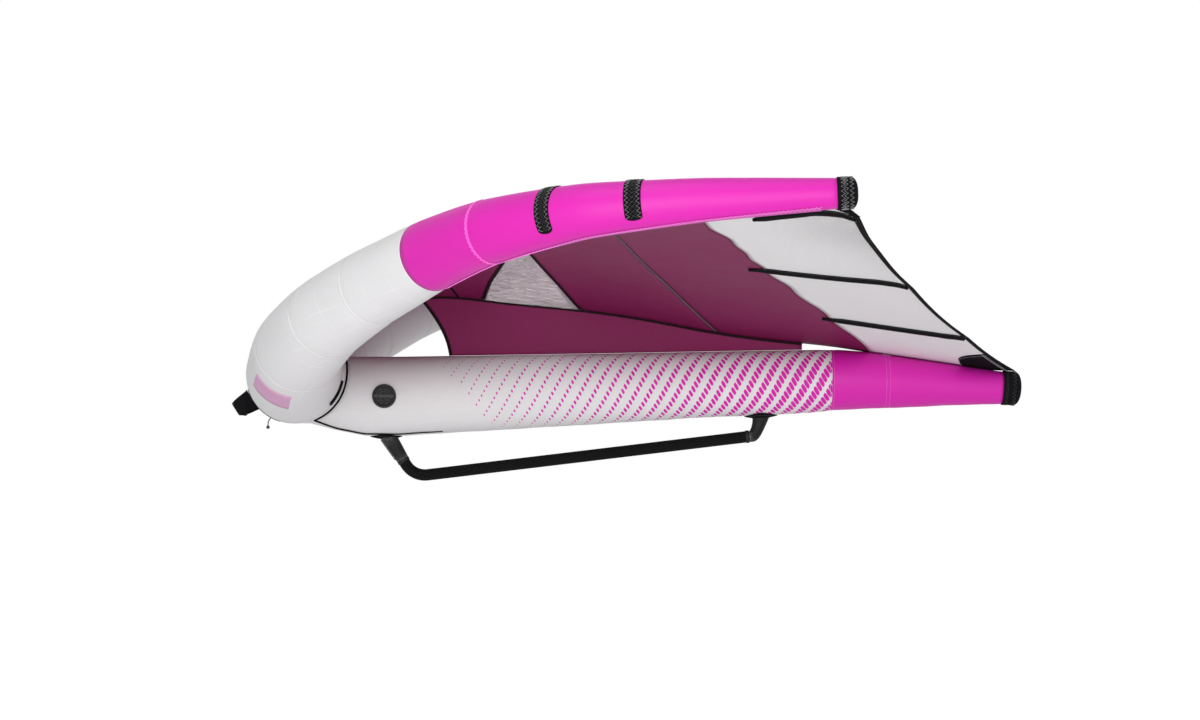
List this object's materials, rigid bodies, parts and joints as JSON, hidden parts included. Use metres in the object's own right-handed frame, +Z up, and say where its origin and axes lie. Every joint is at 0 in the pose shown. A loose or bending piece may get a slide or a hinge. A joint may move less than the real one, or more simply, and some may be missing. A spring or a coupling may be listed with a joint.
{
  "type": "wingfoil wing",
  "caption": "Inflatable hand-held wing: curved air-filled leading edge, centre strut with a rigid boom, panelled canopy, front handle and twist-cap inflation valve",
  "frame": {"origin": "middle of the boom's straight grip, on its axis, where the rider's hands hold the wing", "axes": "+X runs aft from the leading edge to the strut's end, +Y spans to the right arm, +Z up; symmetric about Y = 0 but for the valve and zip on the left"},
  "size_m": [2.1262, 3.1222, 0.7266],
  "materials": {
    "dacron_white": "light grey woven polyester, satin",
    "dacron_pink": "bright pink woven polyester, satin",
    "canopy_maroon": "maroon ripstop cloth, satin",
    "canopy_grey": "light grey ripstop cloth, satin",
    "window_film": "frosted clear film",
    "black_webbing": "black webbing, matt",
    "bladder_film": "translucent film",
    "black_plastic": "moulded, matt",
    "grey_plastic": "moulded, matt",
    "grip_foam": "foam grip, matt",
    "aluminium": "satin",
    "steel": "satin",
    "rubber": "matt",
    "tag_line": "braided line"
  },
  "bodies": {
    "wing": {"access_zip": "black_webbing", "boom_front_fitting": "grey_plastic", "boom_front_saddle": "black_webbing", "boom_grip": "grip_foam", "boom_pin": "steel", "boom_rear_fitting": "grey_plastic", "boom_rear_saddle": "black_webbing", "boom_screw": "steel", "boom_tube": "aluminium", "canopy_front_left": "canopy_maroon", "canopy_front_right": "canopy_maroon", "canopy_middle_left": "canopy_maroon", "canopy_middle_right": "canopy_maroon", "canopy_rear_left": "canopy_maroon", "canopy_rear_right": "canopy_maroon", "canopy_tip_left": "canopy_grey", "canopy_tip_right": "canopy_grey", "canopy_window_left": "window_film", "canopy_window_right": "window_film", "corner_patch_left": "black_webbing", "corner_patch_right": "black_webbing", "front_handle_pad": "grip_foam", "front_handle_strap": "black_webbing", "front_patch": "black_webbing", "inner_batten_left": "black_webbing", "inner_batten_right": "black_webbing", "inner_scuff_band_left": "black_webbing", "inner_scuff_band_right": "black_webbing", "junction_piping_left": "black_webbing", "junction_piping_right": "black_webbing", "le_bladder": "bladder_film", "le_sleeve_center": "dacron_white", "le_sleeve_left": "dacron_pink", "le_sleeve_right": "dacron_pink", "le_tip_cap_left": "black_webbing", "le_tip_cap_right": "black_webbing", "middle_batten_left": "black_webbing", "middle_batten_right": "black_webbing", "outer_batten_left": "black_webbing", "outer_batten_right": "black_webbing", "outer_scuff_band_left": "black_webbing", "outer_scuff_band_right": "black_webbing", "profile_panel": "canopy_maroon", "strut_bladder": "bladder_film", "strut_end_cap": "black_webbing", "strut_sleeve_front": "dacron_white", "strut_sleeve_rear": "dacron_pink", "tag_knot": "tag_line", "tag_line": "tag_line", "tip_webbing_left": "black_webbing", "tip_webbing_right": "black_webbing", "trailing_edge_tape_left": "black_webbing", "trailing_edge_tape_right": "black_webbing", "transfer_hose": "bladder_film", "valve_base": "black_plastic", "valve_guide": "grey_plastic", "valve_spring": "steel"},
    "valve_cap": {"valve_cap": "black_plastic"},
    "valve_poppet": {"valve_poppet": "grey_plastic", "valve_seal": "rubber"}
  },
  "joints": [
    {"name": "valve_cap_twist", "type": "hinge", "parent": "wing", "child": "valve_cap", "pos_m": [-0.527, 0, 0.1619], "axis": [0, -1, 0], "range_deg": [0, 90]},
    {"name": "valve_poppet_press", "type": "slide", "parent": "wing", "child": "valve_poppet", "axis": [0, 1, 0], "range_m": [0, 0.006], "stiffness_N_per_m": 400, "springref_m": -0.0005, "deforming": ["valve_spring"]}
  ]
}
